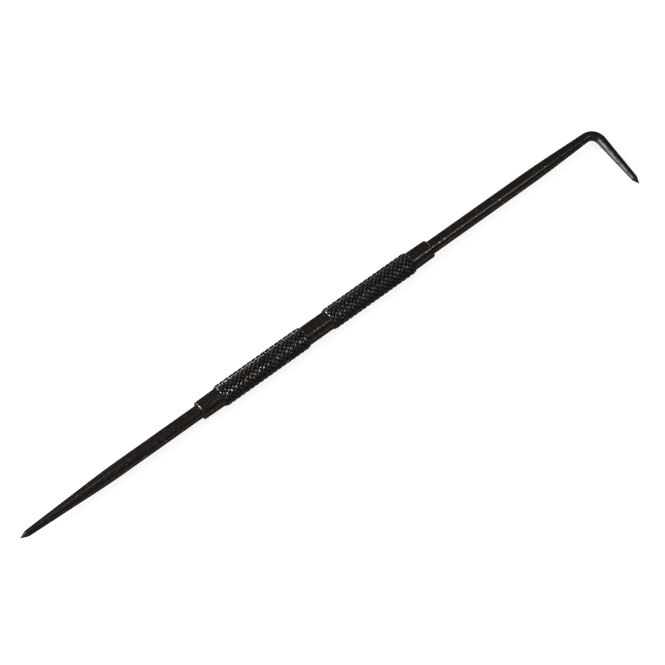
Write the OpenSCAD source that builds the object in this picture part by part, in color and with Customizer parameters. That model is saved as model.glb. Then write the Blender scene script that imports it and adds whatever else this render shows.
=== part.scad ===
// Double ended scriber: one steel bar with two diamond knurled grips, a straight point
// at one end and a point bent to a right angle at the other. It is all one piece.
// It lies as it comes to rest, on its grips and on the bent point.

/* [Grips] */
// Length of each knurled grip
knurl_len = 35.75; // [20:0.05:50]
// Diameter over the diamonds of the knurl
knurl_d = 8.2; // [8.1:0.05:11]
// Depth of the grooves between the diamonds
knurl_depth = 0.45; // [0.2:0.05:0.5]
// Distance from one diamond to the next along a grip
knurl_pitch = 1.93; // [1.6:0.01:3]
// How much lower the cut diamonds are that end each grip
knurl_end_drop = 0.1; // [0:0.05:0.15]

/* [Plain parts of the handle] */
// Length of the band between the grips
band_len = 10.55; // [4:0.05:24]
// Diameter of the band
band_d = 7.05; // [5.6:0.05:7.1]
// Length of the collar outside each grip
collar_len = 8.6; // [3:0.1:20]
// Diameter of a collar next to its grip
collar_d = 6.95; // [6.75:0.05:7.1]
// Diameter of a collar at its outer end
collar_end_d = 6.7; // [6:0.05:6.9]
// Width of the chamfer on a collar's outer corner
collar_chamfer = 0.2; // [0.05:0.05:0.4]

/* [Shanks] */
// Diameter of both shanks where they are parallel
shank_d = 4.95; // [4:0.05:5.1]
// Length of the parallel shank on the side of the straight point
straight_shank_len = 37.7; // [15:0.1:60]
// Length of the parallel shank on the side of the bent point
bent_shank_len = 49; // [15:0.1:70]

/* [Straight point] */
// Length of the taper between the shank and the cone of the straight point
straight_taper_len = 33; // [12:0.1:50]
// Length of the cone that is ground on the straight point
straight_cone_len = 2.8; // [1.5:0.05:5]
// Diameter of that cone where it meets the taper
straight_cone_d = 2.4; // [1.6:0.05:3.4]

/* [Bent point] */
// Length of the taper between the shank and the bend
bent_taper_len = 22.4; // [10:0.1:40]
// Diameter of the bar in the bend
bend_d = 3.55; // [2.8:0.05:3.9]
// Radius of the bend, measured at the middle of the bar
bend_r = 4; // [3:0.1:8]
// Reach of the bent point, from the middle of the shank to its tip
leg_reach = 24.85; // [18:0.05:40]
// Length of the cone that is ground on the bent point
leg_cone_len = 2.65; // [1.5:0.05:4.5]
// Diameter of that cone where it meets the leg
leg_cone_d = 2.25; // [1.5:0.05:2.6]

/* [Hidden] */

// Facets round the bar, and round the bend in the other direction
$fn = 96;
right_angle = 90;
half_turn = 180;

// Colour of the blackened steel
steel_black = [0.13, 0.13, 0.14];

// Places along the bar, counted from the tip of the straight point
straight_taper_x = straight_cone_len;
straight_shank_x = straight_taper_x + straight_taper_len;
straight_collar_x = straight_shank_x + straight_shank_len;
first_knurl_x = straight_collar_x + collar_len;
band_x = first_knurl_x + knurl_len;
second_knurl_x = band_x + band_len;
bent_collar_x = second_knurl_x + knurl_len;
bent_shank_x = bent_collar_x + collar_len;
bent_taper_x = bent_shank_x + bent_shank_len;
bend_x = bent_taper_x + bent_taper_len;
scriber_len = bend_x + bend_r + bend_d / 2;

// The knurl is a lattice: diamonds and the hollows where its grooves cross take turns
// along every row and every column
crest_r = knurl_d / 2;
groove_r = crest_r - knurl_depth;
end_crest_r = crest_r - knurl_end_drop;
columns = 2 * round(PI * knurl_d / knurl_pitch);
rows = round(2 * knurl_len / knurl_pitch);
column_angle = 360 / columns;
row_len = knurl_len / rows;
// Columns are counted from half a step beside the lowest line of the grip
function column_turn(column) = (column + 0.5) * column_angle;
function lattice_point(column, row, r) = [
    row * row_len,
    r * sin(column_turn(column)),
    -r * cos(column_turn(column))
];

// At rest two columns of diamonds and the rim of the bent point's cone touch the ground
axis_z = crest_r * cos(column_angle / 2);
leg_rim_reach = leg_reach - leg_cone_len;
leg_rim_r = leg_cone_d / 2;
leg_dip = asin(axis_z / norm([leg_rim_reach, leg_rim_r])) - atan2(leg_rim_r, leg_rim_reach);

// The origin is below the middle of the whole tool
grip_side_y = max([for (column = [0:columns - 1]) lattice_point(column, 0, crest_r).y]);
middle_x = scriber_len / 2;
middle_y = (grip_side_y - leg_reach * cos(leg_dip)) / 2;

// Half outline of a collar, from its outer end to its grip, turned with the rest of the bar
function collar_outline(outer_x, inward) = [
    [collar_end_d / 2 - collar_chamfer, outer_x],
    [collar_end_d / 2, outer_x + inward * collar_chamfer],
    [collar_d / 2, outer_x + inward * collar_len]
];

function reversed(points) = [for (i = [len(points) - 1:-1:0]) points[i]];

// The turned bar, from the tip of the straight point to the start of the bend.
// Under the grips it keeps the diameter of the band, below the bottom of the grooves.
// Its far end is a cone inside the bend, so that the two share a volume and not just a face.
module turned_bar() {
    outline = concat(
        [
            [0, 0],
            [straight_cone_d / 2, straight_taper_x],
            [shank_d / 2, straight_shank_x],
            [shank_d / 2, straight_collar_x]
        ],
        collar_outline(straight_collar_x, 1),
        [
            [band_d / 2, first_knurl_x],
            [band_d / 2, bent_collar_x]
        ],
        reversed(collar_outline(bent_shank_x, -1)),
        [
            [shank_d / 2, bent_shank_x],
            [shank_d / 2, bent_taper_x],
            [bend_d / 2, bend_x],
            [0, bend_x + bend_d / 2]
        ]
    );
    rotate([0, right_angle, 0])
        rotate_extrude()
            polygon(outline);
}

// One knurled grip, as a closed skin. Each diamond has a point and four flanks that go
// down to the hollows round it. Each grip ends square, so its first and its last row are
// half diamonds.
module knurl() {
    function is_diamond(column, row) = (column + row) % 2 == 1;
    function is_end(row) = row == 0 || row == rows;
    function point_r(column, row) =
        !is_diamond(column, row) ? groove_r : is_end(row) ? end_crest_r : crest_r;
    // Number of a point of the lattice in the list of points
    function number(column, row) = row * columns + (column + columns) % columns;

    points = [
        for (row = [0:rows], column = [0:columns - 1])
            lattice_point(column, row, point_r(column, row))
    ];
    // The four hollows round a diamond, in the order left, far end, right, near end.
    // A flank lies between the diamond's point and two of them.
    flanks = [
        for (row = [0:rows], column = [0:columns - 1])
            if (is_diamond(column, row))
                let (
                    hollows = [[column - 1, row], [column, row + 1], [column + 1, row], [column, row - 1]]
                )
                for (side = [0:3])
                    let (
                        from = hollows[side],
                        to = hollows[(side + 1) % 4]
                    )
                    if (min(from.y, to.y) >= 0 && max(from.y, to.y) <= rows)
                        [number(from.x, from.y), number(to.x, to.y), number(column, row)]
    ];
    first_end = [for (column = [0:columns - 1]) number(column, 0)];
    last_end = [for (column = [columns - 1:-1:0]) number(column, rows)];
    polyhedron(points = points, faces = concat(flanks, [first_end, last_end]));
}

// The quarter turn at the bent end, lying flat
module bend() {
    translate([bend_x, -bend_r, 0])
        rotate_extrude(angle = right_angle)
            translate([bend_r, 0])
                circle(d = bend_d);
}

// The tapered leg after the bend, with its ground cone. It too starts as a cone in the bend.
module leg() {
    translate([bend_x + bend_r, -bend_r, 0])
        rotate([right_angle, 0, 0])
            rotate_extrude()
                polygon([
                    [0, -bend_d / 2],
                    [bend_d / 2, 0],
                    [leg_rim_r, leg_rim_reach - bend_r],
                    [0, leg_reach - bend_r]
                ]);
}

// The bar is turned about its own line, so far that its bent point touches the ground.
// In the end it lies with its straight point at +X and its bent point towards +Y.
module scriber() {
    color(steel_black)
        rotate([0, 0, half_turn])
            translate([-middle_x, -middle_y, axis_z]) {
                rotate([leg_dip, 0, 0]) {
                    turned_bar();
                    bend();
                    leg();
                }
                for (knurl_x = [first_knurl_x, second_knurl_x])
                    translate([knurl_x, 0, 0])
                        knurl();
            }
}

scriber();
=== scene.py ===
import math

import bpy
import numpy as np
from mathutils import Matrix, Vector


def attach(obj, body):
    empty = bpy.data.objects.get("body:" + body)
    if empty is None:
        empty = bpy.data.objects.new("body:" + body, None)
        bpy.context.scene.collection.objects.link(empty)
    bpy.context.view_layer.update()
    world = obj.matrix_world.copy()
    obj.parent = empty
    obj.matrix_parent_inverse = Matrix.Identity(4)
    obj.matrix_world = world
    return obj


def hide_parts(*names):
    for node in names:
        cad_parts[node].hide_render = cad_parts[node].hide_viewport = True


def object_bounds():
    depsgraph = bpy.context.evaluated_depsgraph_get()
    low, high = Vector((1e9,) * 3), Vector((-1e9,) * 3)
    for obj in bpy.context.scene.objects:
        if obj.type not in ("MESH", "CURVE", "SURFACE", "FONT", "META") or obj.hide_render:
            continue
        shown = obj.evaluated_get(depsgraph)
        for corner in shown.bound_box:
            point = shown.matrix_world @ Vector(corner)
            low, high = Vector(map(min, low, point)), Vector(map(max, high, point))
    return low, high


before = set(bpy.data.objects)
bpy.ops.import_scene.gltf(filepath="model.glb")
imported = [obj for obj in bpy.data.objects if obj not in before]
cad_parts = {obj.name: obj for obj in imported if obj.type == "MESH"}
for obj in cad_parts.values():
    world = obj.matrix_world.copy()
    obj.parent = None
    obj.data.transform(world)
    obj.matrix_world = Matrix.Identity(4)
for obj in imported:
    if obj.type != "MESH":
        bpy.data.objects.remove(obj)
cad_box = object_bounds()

# Sizes of the scriber, in metres. They are the solid's own sizes.
KNURL_LEN = 0.03575
KNURL_D = 0.0082
KNURL_DEPTH = 0.00045
KNURL_PITCH = 0.00193
KNURL_END_DROP = 0.0001
BAND_LEN = 0.01055
BAND_D = 0.00705
COLLAR_LEN = 0.0086
COLLAR_D = 0.00695
COLLAR_END_D = 0.0067
COLLAR_CHAMFER = 0.0002
SHANK_D = 0.00495
STRAIGHT_SHANK_LEN = 0.0377
BENT_SHANK_LEN = 0.049
STRAIGHT_TAPER_LEN = 0.033
STRAIGHT_CONE_LEN = 0.0028
STRAIGHT_CONE_D = 0.0024
BENT_TAPER_LEN = 0.0224
BEND_D = 0.00355
BEND_R = 0.004
LEG_REACH = 0.02485
LEG_CONE_LEN = 0.00265
LEG_CONE_D = 0.00225

# Places along the bar's middle line, from the tip of the straight point to the cone of the leg
STRAIGHT_TAPER_S = STRAIGHT_CONE_LEN
STRAIGHT_SHANK_S = STRAIGHT_TAPER_S + STRAIGHT_TAPER_LEN
STRAIGHT_COLLAR_S = STRAIGHT_SHANK_S + STRAIGHT_SHANK_LEN
FIRST_KNURL_S = STRAIGHT_COLLAR_S + COLLAR_LEN
BAND_S = FIRST_KNURL_S + KNURL_LEN
SECOND_KNURL_S = BAND_S + BAND_LEN
BENT_COLLAR_S = SECOND_KNURL_S + KNURL_LEN
BENT_SHANK_S = BENT_COLLAR_S + COLLAR_LEN
BENT_TAPER_S = BENT_SHANK_S + BENT_SHANK_LEN
BEND_S = BENT_TAPER_S + BENT_TAPER_LEN
LEG_S = BEND_S + BEND_R * math.pi / 2
LEG_CONE_S = LEG_S + LEG_REACH - BEND_R - LEG_CONE_LEN

# The knurl's lattice: diamonds and hollows take turns along every row and column
COLUMNS = 2 * round(math.pi * KNURL_D / KNURL_PITCH)
ROWS = round(2 * KNURL_LEN / KNURL_PITCH)
COLUMN_ANGLE = 2 * math.pi / COLUMNS
CREST_R = KNURL_D / 2
GROOVE_R = CREST_R - KNURL_DEPTH
# Steps of the mesh in each cell of the lattice, and points round the bar
CELL_STEPS = 6
AROUND = COLUMNS * CELL_STEPS
# A diamond's point is worn to a flat, which ends on the first step from its middle
FLAT = 1 / CELL_STEPS
WORN_OFF = 0.000017
# Above 1, the flanks bulge and grow steeper towards the grooves
FLANK_BULGE = 1.22
# How much lower than the rest a diamond may be and how much it leans, as shares of its height
MOST_LOWER = 0.06
LEAN_SPREAD = 0.05
# How much of its height the knurl keeps on its very ends, which are chamfered
END_KEEPS = 0.4
# Seed of the differences between diamonds
SEED = 7

# How the scriber lies: on two columns of diamonds and on the rim of the leg's cone
AXIS_Z = CREST_R * math.cos(COLUMN_ANGLE / 2)
LEG_RIM_REACH = LEG_REACH - LEG_CONE_LEN
LEG_RIM_R = LEG_CONE_D / 2
LEG_DIP = (math.asin(AXIS_Z / math.hypot(LEG_RIM_REACH, LEG_RIM_R))
           - math.atan2(LEG_RIM_R, LEG_RIM_REACH))
# Where the straight tip and the grips' middle line are in the frame
START_X = cad_box[1][0]
AXIS_Y = cad_box[0][1] + CREST_R

# Each point ends in a tiny disc. The leg's is tilted, so it ends a hair short to stay within
# the solid's reach.
TIP_R = 0.00004
LEG_TIP_S = LEG_CONE_S + LEG_CONE_LEN - TIP_R * math.sin(LEG_DIP)

# Roundings of the corners. Each curve starts this far from its corner.
EDGE_ROUNDING = 0.0001
CHAMFER_ROUNDING = 0.00005
SHOULDER_ROUNDING = 0.00015
TAPER_ROUNDING = 0.006
LEG_ROUNDING = 0.001
STRAIGHT_CONE_ROUNDING = 0.0004
LEG_CONE_ROUNDING = 0.0003
# Steps of a curve, and the most that it takes of the stretches beside it
CURVE_STEPS = 4
MOST_OF_STRETCH = 0.45

# Longest distance between rings on straight stretches, and in the bend and the leg
STRAIGHT_STEP = 0.005
BEND_STEP = 0.0007
# Distance from a corner to the ring beside it, which keeps the shading of the corner crisp
EDGE_STEP = 0.00025

# The wear and the painted highlights. Each pair holds the values at which something has no effect
# and at which it has all.
# The side of the scriber that handling rubs most and where highlights are painted as bare steel,
# turned from below
RUBBED_AND_HIGHLIT_SIDE = math.radians(165)
# How near to that side corners and diamonds are rubbed and painted bright, as the cosine of the
# angle to it
CORNER_NEARNESS = (0.75, 0.9)
DIAMOND_NEARNESS = (0.4, 0.7)
# How much the diamonds are rubbed on the other sides, and rubbed with painted highlights on that
# one
LEAST_HANDLED = 0.1
MOST_HANDLED_AND_HIGHLIT = 1.2
# From which share of its height a diamond is rubbed, and the same on the rims of a grip
TOP_HEIGHT = (0.7, 0.95)
RIM_HEIGHT = (0, 0.2)
# Some diamonds are rubbed less than others
LEAST_POLISH = 0.1
POLISH_POWER = 1.5
# Corners that handling rubs, painted with highlights on the upper side, as (place, radius, how
# much), and how far it reaches from them
RUBBED_AND_HIGHLIT_CORNERS = [
    (STRAIGHT_COLLAR_S + COLLAR_CHAMFER / 2, COLLAR_END_D / 2 - COLLAR_CHAMFER / 2, 1.0),
    (BENT_SHANK_S - COLLAR_CHAMFER / 2, COLLAR_END_D / 2 - COLLAR_CHAMFER / 2, 1.0),
    (0, TIP_R, 0.2),
    (LEG_TIP_S, TIP_R, 0.2),
]
CORNER_RUB_REACH = 0.0004
# The strip on the leg, partly rubbed and partly a painted reflection: where it begins and ends
# along the middle line, and its two sides and its middle in degrees from the leg's top towards the
# straight point
STRIP_BEGINS = (LEG_S - 0.0015, LEG_S + 0.0005)
STRIP_ENDS = (LEG_CONE_S + 0.0002, LEG_CONE_S - 0.0002)
STRIP_UPPER_SIDE = (17, 21)
STRIP_LOWER_SIDE = (100, 88)
STRIP_MIDDLE = 56
STRIP_HALF_WIDTH = 40
STRIP_RUB_AND_REFLECTION = 0.31
STRIP_EDGE_EXTRA_RUB_AND_REFLECTION = 0.15
# A painted dark line and a painted highlight line run along the strip near the bend, down to these
# shares of the leg.
# Their places and half their width are in degrees too.
LINES_END = (0.3, 0.15)
PAINTED_DARK_LINE = 61
PAINTED_HIGHLIGHT_LINE = 38
LINE_HALF_WIDTH = 14
PAINTED_DARK_LINE_KEPT = 0.9
PAINTED_HIGHLIGHT_AMOUNT = 0.05

# Edges between faces that meet at more than this angle stay sharp
SHARP_ANGLE = math.radians(28)

# Colours of the steel: the finish where it is browner and bluer, and bare steel where it is rubbed
# off and where highlights and a reflection are painted
BROWN_BLACK = (0.0270, 0.0231, 0.0204, 1)
BLUE_BLACK = (0.0240, 0.0216, 0.0198, 1)
RUBBED_AND_SHEEN_STEEL = (0.35, 0.35, 0.36, 1)
# Cells of each noise per metre, along the bar and across it
TONE_CELLS = (120, 300)
OIL_CELLS = (500, 700)
SPOT_CELLS = (800, 1300)
FLECK_CELLS = (1300, 2600)
MARK_CELLS = (14000, 200)
WAVE_CELLS = (450, 900)
# How the noises are used, as (from low, from high, to low, to high)
SPOT_RAMP = (0.36, 0.44, 0.25, 1.0)
PATCH_RAMP = (0.35, 0.65, 0.6, 1.0)
FLECK_RAMP = (0.69, 0.76, 0.0, 0.7)
ROUGHNESS_RAMP = (0.3, 0.7, 0.18, 0.28)
# How much duller the ground cones are
CONE_DULLER = 0.25
# The finish is partly metallic, and its gloss fades towards the bar's outline
FINISH_METALLIC = 0.7
EDGE_GLOSS = 0.15
OIL_GLOSS = 0.05
# Heights of the turning marks and of the slow waviness, in metres
MARK_HEIGHT = 0.0000012
WAVE_HEIGHT = 0.000015

# The floor: half its side, its colour and roughness, and how far it is lifted to look white
FLOOR_HALF = 3.0
FLOOR_COLOUR = 0.35
FLOOR_ROUGHNESS = 0.8
FLOOR_LIFT = 0.82
# How bright the white world round the scene is
WORLD_LIGHT = 0.27

# The lamps as (name, centre, size, radiance, level direction of the first side)
LAMPS = [
    ("high_softbox", (0.529, -0.458, 0.562), (0.10, 0.10), 195, (0.710, 0.704, 0)),
    ("upper_softbox", (0.540, -0.185, 0.694), (0.05, 0.09), 30, (0.25, 0.968, 0)),
    ("fill_softbox", (0.55, 0.33, 0.80), (0.45, 0.45), 0.6, (0.51, -0.86, 0)),
    ("side_softbox", (0.78, -0.25, 0.40), (0.60, 0.66), 3.4, (0.305, 0.952, 0)),
    ("near_line_lamp", (-0.3005, 0.31, 0.475), (0.099, 0.035), 48, (1, 0, 0)),
    ("far_line_lamp", (-0.175, 0.31, 0.475), (0.14, 0.035), 13, (1, 0, 0)),
    ("taper_lamp", (0.036, -0.075, 0.575), (0.05, 0.025), 38, (1, 0, 0)),
]

# The camera, at the angle and distance that the photo was taken from
CAMERA_AZIMUTH = math.radians(141.324)
CAMERA_ELEVATION = math.radians(62.598)
CAMERA_DISTANCE = 0.895459
CAMERA_TARGET = Vector((-0.0028955, -0.00731, 0))
CAMERA_LENS = 142.495
CAMERA_SENSOR = 36
CAMERA_CLIP_START = 0.01


def fade(value, none, full):
    """0 up to the value none, 1 from the value full on, and an even change between them."""
    return np.clip((value - none) / (full - none), 0, 1)


def round_corners(points):
    """The outline of (place, radius, rounding) with a short curve at each corner to be rounded."""
    outline = []
    for i, (place, radius, rounding) in enumerate(points):
        corner = np.array([place, radius])
        if rounding == 0 or i in (0, len(points) - 1):
            outline.append(corner)
            continue
        before = np.array(points[i - 1][:2]) - corner
        after = np.array(points[i + 1][:2]) - corner
        before_len = np.linalg.norm(before)
        after_len = np.linalg.norm(after)
        start = before / before_len * min(rounding, before_len * MOST_OF_STRETCH)
        end = after / after_len * min(rounding, after_len * MOST_OF_STRETCH)
        for t in np.linspace(0, 1, CURVE_STEPS + 1):
            outline.append(corner + start * (1 - t) ** 2 + end * t ** 2)
    return outline


def spread_rings(outline, longest):
    """The outline with points added: one beside each corner, and no gap longer than longest."""
    rings = [outline[0]]
    for corner in outline[1:]:
        last = rings[-1]
        gap = np.linalg.norm(corner - last)
        if gap > 2 * EDGE_STEP:
            rings.append(last + (corner - last) * EDGE_STEP / gap)
            last = rings[-1]
            stop = corner - (corner - last) * EDGE_STEP / gap
            count = math.ceil(np.linalg.norm(stop - last) / longest)
            for i in range(1, count + 1):
                rings.append(last + (stop - last) * i / count)
        rings.append(corner)
    return rings


def straight_end_outline():
    """Rings from the tip of the straight point to the first grip."""
    return spread_rings(round_corners([
        (0, TIP_R, 0),
        (STRAIGHT_TAPER_S, STRAIGHT_CONE_D / 2, STRAIGHT_CONE_ROUNDING),
        (STRAIGHT_SHANK_S, SHANK_D / 2, TAPER_ROUNDING),
        (STRAIGHT_COLLAR_S, SHANK_D / 2, SHOULDER_ROUNDING),
        (STRAIGHT_COLLAR_S, COLLAR_END_D / 2 - COLLAR_CHAMFER, CHAMFER_ROUNDING),
        (STRAIGHT_COLLAR_S + COLLAR_CHAMFER, COLLAR_END_D / 2, EDGE_ROUNDING),
        (FIRST_KNURL_S, COLLAR_D / 2, EDGE_ROUNDING),
        (FIRST_KNURL_S, GROOVE_R, 0),
    ]), STRAIGHT_STEP)


def band_outline():
    """Rings of the plain band between the grips."""
    return spread_rings(round_corners([
        (BAND_S, GROOVE_R, 0),
        (BAND_S, BAND_D / 2, EDGE_ROUNDING),
        (SECOND_KNURL_S, BAND_D / 2, EDGE_ROUNDING),
        (SECOND_KNURL_S, GROOVE_R, 0),
    ]), STRAIGHT_STEP)


def bent_end_outline():
    """Rings from the second grip to the tip of the bent point."""
    before_bend = spread_rings(round_corners([
        (BENT_COLLAR_S, GROOVE_R, 0),
        (BENT_COLLAR_S, COLLAR_D / 2, EDGE_ROUNDING),
        (BENT_SHANK_S - COLLAR_CHAMFER, COLLAR_END_D / 2, EDGE_ROUNDING),
        (BENT_SHANK_S, COLLAR_END_D / 2 - COLLAR_CHAMFER, CHAMFER_ROUNDING),
        (BENT_SHANK_S, SHANK_D / 2, SHOULDER_ROUNDING),
        (BENT_TAPER_S, SHANK_D / 2, TAPER_ROUNDING),
        (BEND_S, BEND_D / 2, 0),
    ]), STRAIGHT_STEP)
    after_bend = spread_rings(round_corners([
        (BEND_S, BEND_D / 2, 0),
        (LEG_S, BEND_D / 2, LEG_ROUNDING),
        (LEG_CONE_S, LEG_CONE_D / 2, LEG_CONE_ROUNDING),
        (LEG_TIP_S, TIP_R, 0),
    ]), BEND_STEP)
    return before_bend + after_bend[1:]


def rubbed_and_highlit_side(turn):
    """1 on the side where corners are rubbed and highlights are painted, 0 elsewhere round the bar.
    """
    return fade(np.cos(turn - RUBBED_AND_HIGHLIT_SIDE), *CORNER_NEARNESS)


def handled_and_highlit(turn):
    """How much the diamonds are rubbed round a grip: a little all round, most on the upper side,
    where this paints highlights.
    """
    near = fade(np.cos(turn - RUBBED_AND_HIGHLIT_SIDE), *DIAMOND_NEARNESS)
    return LEAST_HANDLED + (MOST_HANDLED_AND_HIGHLIT - LEAST_HANDLED) * near


def corner_wear_and_highlight(s, r, turn):
    """How much of the finish is rubbed off at a turned corner, on the side where this also paints a
    highlight.
    """
    worn = max(amount * max(0, 1 - math.hypot(s - at, r - out) / CORNER_RUB_REACH)
               for at, out, amount in RUBBED_AND_HIGHLIT_CORNERS)
    return worn * rubbed_and_highlit_side(turn)


def leg_wear_and_reflection(s, turn):
    """How much of the finish is rubbed off the side of the leg that faces the straight point, which
    is partly a painted reflection band with a painted dark line and highlight line.
    """
    aside = np.degrees(turn - LEG_DIP) - 180
    down = (s - LEG_S) / (LEG_CONE_S - LEG_S)
    by_bend = fade(down, *LINES_END)
    rubbed_and_reflection_strip = fade(aside, *STRIP_UPPER_SIDE) * fade(aside, *STRIP_LOWER_SIDE)
    rubbed_and_reflection_strip *= STRIP_RUB_AND_REFLECTION + STRIP_EDGE_EXTRA_RUB_AND_REFLECTION * abs(aside - STRIP_MIDDLE) / STRIP_HALF_WIDTH
    painted_dark_line = np.clip(1 - abs(aside - PAINTED_DARK_LINE) / LINE_HALF_WIDTH, 0, 1) * by_bend
    painted_highlight_line = np.clip(1 - abs(aside - PAINTED_HIGHLIGHT_LINE) / LINE_HALF_WIDTH, 0, 1) * by_bend
    rubbed_and_sheen = rubbed_and_reflection_strip * (1 - PAINTED_DARK_LINE_KEPT * painted_dark_line) + PAINTED_HIGHLIGHT_AMOUNT * painted_highlight_line
    return rubbed_and_sheen * fade(s, *STRIP_BEGINS) * fade(s, *STRIP_ENDS)


def knurl_rings(start_s, turn, random):
    """Rings of one grip as (s, radius at each point round the bar, wear with painted highlights at
    each point).
    """
    low = random.uniform(0, MOST_LOWER, (ROWS + 1, COLUMNS))
    lean = random.normal(0, LEAN_SPREAD, (2, ROWS + 1, COLUMNS))
    polish = random.uniform(LEAST_POLISH, 1, (ROWS + 1, COLUMNS)) ** POLISH_POWER
    row = np.arange(ROWS * CELL_STEPS + 1)[:, None] / CELL_STEPS
    column = np.arange(AROUND)[None, :] / CELL_STEPS

    # Each diamond is the square between two grooves of either slant, and p and q run across it
    # from -1 to 1
    one_way = np.floor((column + row) / 2)
    other_way = np.floor((column - row) / 2)
    p = (column + row) - 2 * one_way - 1
    q = (column - row) - 2 * other_way - 1
    own_column = (one_way + other_way + 1).astype(int) % COLUMNS
    own_row = np.clip((one_way - other_way).astype(int), 0, ROWS)
    own = (own_row, own_column)

    # How far each point rises from the bottom of the grooves, from 0 to 1
    from_middle = np.maximum(abs(p), abs(q))
    down_flank = np.clip((from_middle - FLAT) / (1 - FLAT), 0, 1)
    rise = (1 - down_flank ** FLANK_BULGE) * (1 - low[own])
    rise += rise * (lean[0][own] * p + lean[1][own] * q)
    at_end = (own_row == 0) | (own_row == ROWS)
    end_rise = (1 - from_middle) * (1 - KNURL_END_DROP / KNURL_DEPTH)
    rise = np.clip(np.where(at_end, end_rise, rise), 0, 1 - WORN_OFF / KNURL_DEPTH)

    # The diamonds are rubbed at their tops, a little all round and most on the upper side, where
    # this paints highlights too; the grip's ends are rubbed along their rims on the upper side
    # only, a painted highlight
    wear_and_sheen = handled_and_highlit(turn) * fade(rise, *TOP_HEIGHT) ** 2 * polish[own]
    rise[[0, -1]] *= END_KEEPS
    rims = [0, 1, -2, -1]
    wear_and_sheen[rims] = fade(rise[rims], *RIM_HEIGHT) * rubbed_and_highlit_side(turn)
    s = start_s + KNURL_LEN * row[:, 0] / ROWS
    r = CREST_R - KNURL_DEPTH * (1 - rise)
    return list(zip(s, r, wear_and_sheen))


def scriber_rings(turn):
    """All rings from one tip to the other, and the row of the lattice at each ring of a grip."""
    random = np.random.default_rng(SEED)
    rings = []
    lattice_rows = {}

    def add_outline(outline):
        for s, r in outline:
            # Wear with painted highlights on the corners, and the leg's partly painted reflection
            # strip
            wear_and_sheen = np.maximum(corner_wear_and_highlight(s, r, turn), leg_wear_and_reflection(s, turn))
            rings.append((s, np.full(AROUND, r), wear_and_sheen))

    def add_knurl(start_s):
        for i, ring in enumerate(knurl_rings(start_s, turn, random)):
            if i < ROWS * CELL_STEPS:
                lattice_rows[len(rings)] = i // CELL_STEPS
            rings.append(ring)

    add_outline(straight_end_outline()[:-1])
    add_knurl(FIRST_KNURL_S)
    add_outline(band_outline()[1:-1])
    add_knurl(SECOND_KNURL_S)
    add_outline(bent_end_outline()[1:])
    return rings, lattice_rows


def to_frame(s, turn, r):
    """The frame's place of a point at s on the middle line, turned from below and r out from it."""
    swing = np.clip((s - BEND_S) / BEND_R, 0, math.pi / 2)
    along = np.minimum(s, BEND_S) + BEND_R * np.sin(swing)
    aside = -BEND_R * (1 - np.cos(swing)) - np.maximum(s - LEG_S, 0)
    flat_turn = turn - LEG_DIP
    out = r * np.sin(flat_turn)
    x = along + out * np.sin(swing)
    y = aside + out * np.cos(swing)
    z = -r * np.cos(flat_turn)
    dip_y = y * math.cos(LEG_DIP) - z * math.sin(LEG_DIP)
    dip_z = y * math.sin(LEG_DIP) + z * math.cos(LEG_DIP)
    return np.stack([START_X - x, AXIS_Y - dip_y, AXIS_Z + dip_z], axis=-1)


def skin_faces(ring_count, lattice_rows):
    """The faces between the rings, cut along the grooves in a grip, and a disc at each tip."""
    faces = []
    for i in range(ring_count - 1):
        for j in range(AROUND):
            a = i * AROUND + j
            b = i * AROUND + (j + 1) % AROUND
            c = b + AROUND
            d = a + AROUND
            if i not in lattice_rows:
                faces.append((a, b, c, d))
            elif (j // CELL_STEPS + lattice_rows[i]) % 2 == 0:
                faces.append((a, b, c))
                faces.append((a, c, d))
            else:
                faces.append((a, b, d))
                faces.append((b, c, d))
    last = (ring_count - 1) * AROUND
    faces.append(tuple(range(AROUND - 1, -1, -1)))
    faces.append(tuple(range(last, last + AROUND)))
    return faces


def make_steel():
    """The whole scriber as one closed mesh, with each point's place on the bar and its wear with
    painted highlights.
    """
    turn = (np.arange(AROUND) / CELL_STEPS + 0.5) * COLUMN_ANGLE
    rings, lattice_rows = scriber_rings(turn)
    s = np.array([ring[0] for ring in rings])[:, None] * np.ones(AROUND)
    r = np.array([ring[1] for ring in rings])
    wear_and_sheen = np.array([ring[2] for ring in rings])
    vertices = to_frame(s, turn, r).reshape(-1, 3)
    place = np.stack([s, r * np.sin(turn), r * np.cos(turn)], axis=-1)

    mesh = bpy.data.meshes.new("scriber_steel")
    mesh.from_pydata(vertices.tolist(), [], skin_faces(len(rings), lattice_rows))
    bar_place = mesh.attributes.new("bar_place", "FLOAT_VECTOR", "POINT")
    bar_place.data.foreach_set("vector", place.ravel())
    mesh.attributes.new("wear_and_sheen", "FLOAT", "POINT").data.foreach_set("value", wear_and_sheen.ravel())
    mesh.shade_smooth()
    mesh.set_sharp_from_angle(angle=SHARP_ANGLE)
    piece = bpy.data.objects.new("scriber_steel", mesh)
    bpy.context.collection.objects.link(piece)
    return piece


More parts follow.
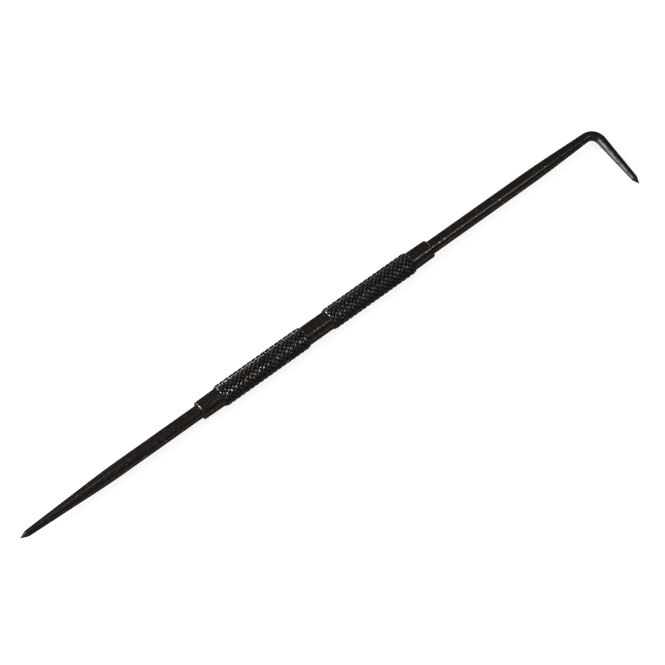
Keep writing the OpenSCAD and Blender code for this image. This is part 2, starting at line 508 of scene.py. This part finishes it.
class Shading:
    """A material's node tree, with a short call for each kind of node that the scene uses."""

    def __init__(self, material):
        self.nodes = material.node_tree.nodes
        self.links = material.node_tree.links

    def put(self, socket, value):
        if isinstance(value, bpy.types.NodeSocket):
            self.links.new(value, socket)
        else:
            socket.default_value = value

    def attribute(self, name):
        node = self.nodes.new("ShaderNodeAttribute")
        node.attribute_name = name
        return node

    def math(self, operation, a, b=0.0, clamp=False):
        node = self.nodes.new("ShaderNodeMath")
        node.operation = operation
        node.use_clamp = clamp
        self.put(node.inputs[0], a)
        self.put(node.inputs[1], b)
        return node.outputs[0]

    def ramp(self, value, low, high, to_low=0.0, to_high=1.0):
        node = self.nodes.new("ShaderNodeMapRange")
        self.put(node.inputs["Value"], value)
        self.put(node.inputs["From Min"], low)
        self.put(node.inputs["From Max"], high)
        self.put(node.inputs["To Min"], to_low)
        self.put(node.inputs["To Max"], to_high)
        return node.outputs[0]

    def first_part(self, vector):
        node = self.nodes.new("ShaderNodeSeparateXYZ")
        self.put(node.inputs[0], vector)
        return node.outputs[0]

    def scaled(self, vector, scale):
        node = self.nodes.new("ShaderNodeVectorMath")
        node.operation = "MULTIPLY"
        self.put(node.inputs[0], vector)
        node.inputs[1].default_value = scale
        return node.outputs[0]

    def noise(self, vector, cells, detail, roughness=0.5):
        """Noise with its own number of cells per metre along the bar and across it."""
        node = self.nodes.new("ShaderNodeTexNoise")
        self.put(node.inputs["Vector"], self.scaled(vector, (cells[0], cells[1], cells[1])))
        node.inputs["Scale"].default_value = 1.0
        node.inputs["Detail"].default_value = detail
        node.inputs["Roughness"].default_value = roughness
        return node.outputs["Fac"]

    def mix_colour(self, factor, a, b):
        node = self.nodes.new("ShaderNodeMix")
        node.data_type = "RGBA"
        self.put(node.inputs["Factor"], factor)
        self.put(node.inputs["A"], a)
        self.put(node.inputs["B"], b)
        return node.outputs["Result"]

    def bump(self, height, distance, normal=None):
        node = self.nodes.new("ShaderNodeBump")
        node.inputs["Strength"].default_value = 1.0
        node.inputs["Distance"].default_value = distance
        self.put(node.inputs["Height"], height)
        if normal is not None:
            self.put(node.inputs["Normal"], normal)
        return node.outputs["Normal"]


def make_steel_material():
    """Blackened, oiled tool steel: nearly black and satin, and brighter where it is rubbed and
    where highlights and a reflection are painted.
    """
    material = bpy.data.materials.new("blackened_steel")
    material.use_nodes = True
    shade = Shading(material)
    shader = shade.nodes["Principled BSDF"]
    place = shade.attribute("bar_place").outputs["Vector"]
    wear_and_sheen = shade.attribute("wear_and_sheen").outputs["Fac"]

    # Where the finish is browner or bluer, oilier or drier
    tone = shade.noise(place, TONE_CELLS, detail=3)
    oil = shade.noise(place, OIL_CELLS, detail=4)

    # Where it is rubbed off and where highlights and a reflection are painted as bare steel: in
    # uneven spots in those places, and in small flecks anywhere
    spots = shade.ramp(shade.noise(place, SPOT_CELLS, detail=2), *SPOT_RAMP)
    patches = shade.ramp(oil, *PATCH_RAMP)
    rubbed_and_sheen = shade.math("MULTIPLY", wear_and_sheen, patches, clamp=True)
    rubbed_and_sheen = shade.math("MULTIPLY", rubbed_and_sheen, spots)
    flecks = shade.ramp(shade.noise(place, FLECK_CELLS, detail=1), *FLECK_RAMP)
    rubbed_and_sheen = shade.math("MAXIMUM", rubbed_and_sheen, flecks)
    black = shade.mix_colour(tone, BROWN_BLACK, BLUE_BLACK)
    shade.put(shader.inputs["Base Color"], shade.mix_colour(rubbed_and_sheen, black, RUBBED_AND_SHEEN_STEEL))
    shade.put(shader.inputs["Metallic"], shade.ramp(rubbed_and_sheen, 0, 1, FINISH_METALLIC, 1.0))

    # The cones of both points are ground and so duller than the drawn bar
    along = shade.first_part(place)
    straight_cone = shade.math("LESS_THAN", along, STRAIGHT_TAPER_S)
    leg_cone = shade.math("GREATER_THAN", along, LEG_CONE_S)
    ground = shade.math("ADD", straight_cone, leg_cone)
    satin = shade.ramp(oil, *ROUGHNESS_RAMP)
    duller = shade.math("MULTIPLY", ground, CONE_DULLER)
    shade.put(shader.inputs["Roughness"], shade.math("ADD", satin, duller))
    shader.inputs["Specular IOR Level"].default_value = OIL_GLOSS
    shader.inputs["Specular Tint"].default_value = (EDGE_GLOSS, EDGE_GLOSS, EDGE_GLOSS, 1)

    # Turning marks run round the bar, and a slow waviness is left from drawing and grinding it
    marks = shade.noise(place, MARK_CELLS, detail=2)
    wavy = shade.noise(place, WAVE_CELLS, detail=4, roughness=0.6)
    normal = shade.bump(marks, MARK_HEIGHT)
    normal = shade.bump(wavy, WAVE_HEIGHT, normal)
    shade.put(shader.inputs["Normal"], normal)
    return material


def make_floor_material():
    """A pale material that the camera and reflections see as white, and that keeps the shadow."""
    material = bpy.data.materials.new("pale_floor")
    material.use_nodes = True
    shade = Shading(material)
    shader = shade.nodes["Principled BSDF"]
    shader.inputs["Base Color"].default_value = (FLOOR_COLOUR, FLOOR_COLOUR, FLOOR_COLOUR, 1)
    shader.inputs["Roughness"].default_value = FLOOR_ROUGHNESS
    shader.inputs["Specular IOR Level"].default_value = 0.0
    path = shade.nodes.new("ShaderNodeLightPath")
    seen = shade.math("MAXIMUM", path.outputs["Is Camera Ray"], path.outputs["Is Glossy Ray"])
    seen = shade.math("MAXIMUM", seen, path.outputs["Is Transmission Ray"])
    shader.inputs["Emission Color"].default_value = (1, 1, 1, 1)
    shade.put(shader.inputs["Emission Strength"], shade.math("MULTIPLY", seen, FLOOR_LIFT))
    return material


def make_floor():
    """A plain pale floor, wide enough for every view."""
    far = FLOOR_HALF
    corners = [(-far, -far, 0), (far, -far, 0), (far, far, 0), (-far, far, 0)]
    mesh = bpy.data.meshes.new("floor")
    mesh.from_pydata(corners, [], [(0, 1, 2, 3)])
    floor = bpy.data.objects.new("floor", mesh)
    bpy.context.collection.objects.link(floor)
    mesh.materials.append(make_floor_material())


def make_world():
    """A white, even light from all round."""
    world = bpy.data.worlds.new("studio")
    world.use_nodes = True
    background = world.node_tree.nodes["Background"]
    background.inputs["Color"].default_value = (1, 1, 1, 1)
    background.inputs["Strength"].default_value = WORLD_LIGHT
    bpy.context.scene.world = world


def add_lamp(name, centre, size, radiance, side):
    """A rectangular soft lamp that faces the scriber, with its first side in the direction side."""
    lamp = bpy.data.lights.new(name, "AREA")
    lamp.shape = "RECTANGLE"
    lamp.size, lamp.size_y = size
    lamp.energy = radiance * math.pi * size[0] * size[1]
    item = bpy.data.objects.new(name, lamp)
    centre = Vector(centre)
    side = Vector(side).normalized()
    back = (centre - side * centre.dot(side)).normalized()
    item.rotation_euler = Matrix((side, back.cross(side), back)).transposed().to_euler()
    item.location = centre
    bpy.context.collection.objects.link(item)


def make_camera():
    """The camera, looking at the target from the photo's side."""
    data = bpy.data.cameras.new("camera")
    data.sensor_fit = "HORIZONTAL"
    data.sensor_width = CAMERA_SENSOR
    data.lens = CAMERA_LENS
    data.clip_start = CAMERA_CLIP_START
    camera = bpy.data.objects.new("camera", data)
    ahead = Vector((-math.sin(CAMERA_AZIMUTH) * math.cos(CAMERA_ELEVATION),
                    math.cos(CAMERA_AZIMUTH) * math.cos(CAMERA_ELEVATION),
                    -math.sin(CAMERA_ELEVATION)))
    camera.location = CAMERA_TARGET - ahead * CAMERA_DISTANCE
    camera.rotation_euler = ahead.to_track_quat("-Z", "Y").to_euler()
    bpy.context.collection.objects.link(camera)
    bpy.context.scene.camera = camera


make_camera()
make_world()
make_floor()
steel = make_steel()
steel.data.materials.append(make_steel_material())
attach(steel, "root")
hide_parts("scriber")

for lamp in LAMPS:
    add_lamp(*lamp)

bpy.context.scene.view_settings.view_transform = "Standard"
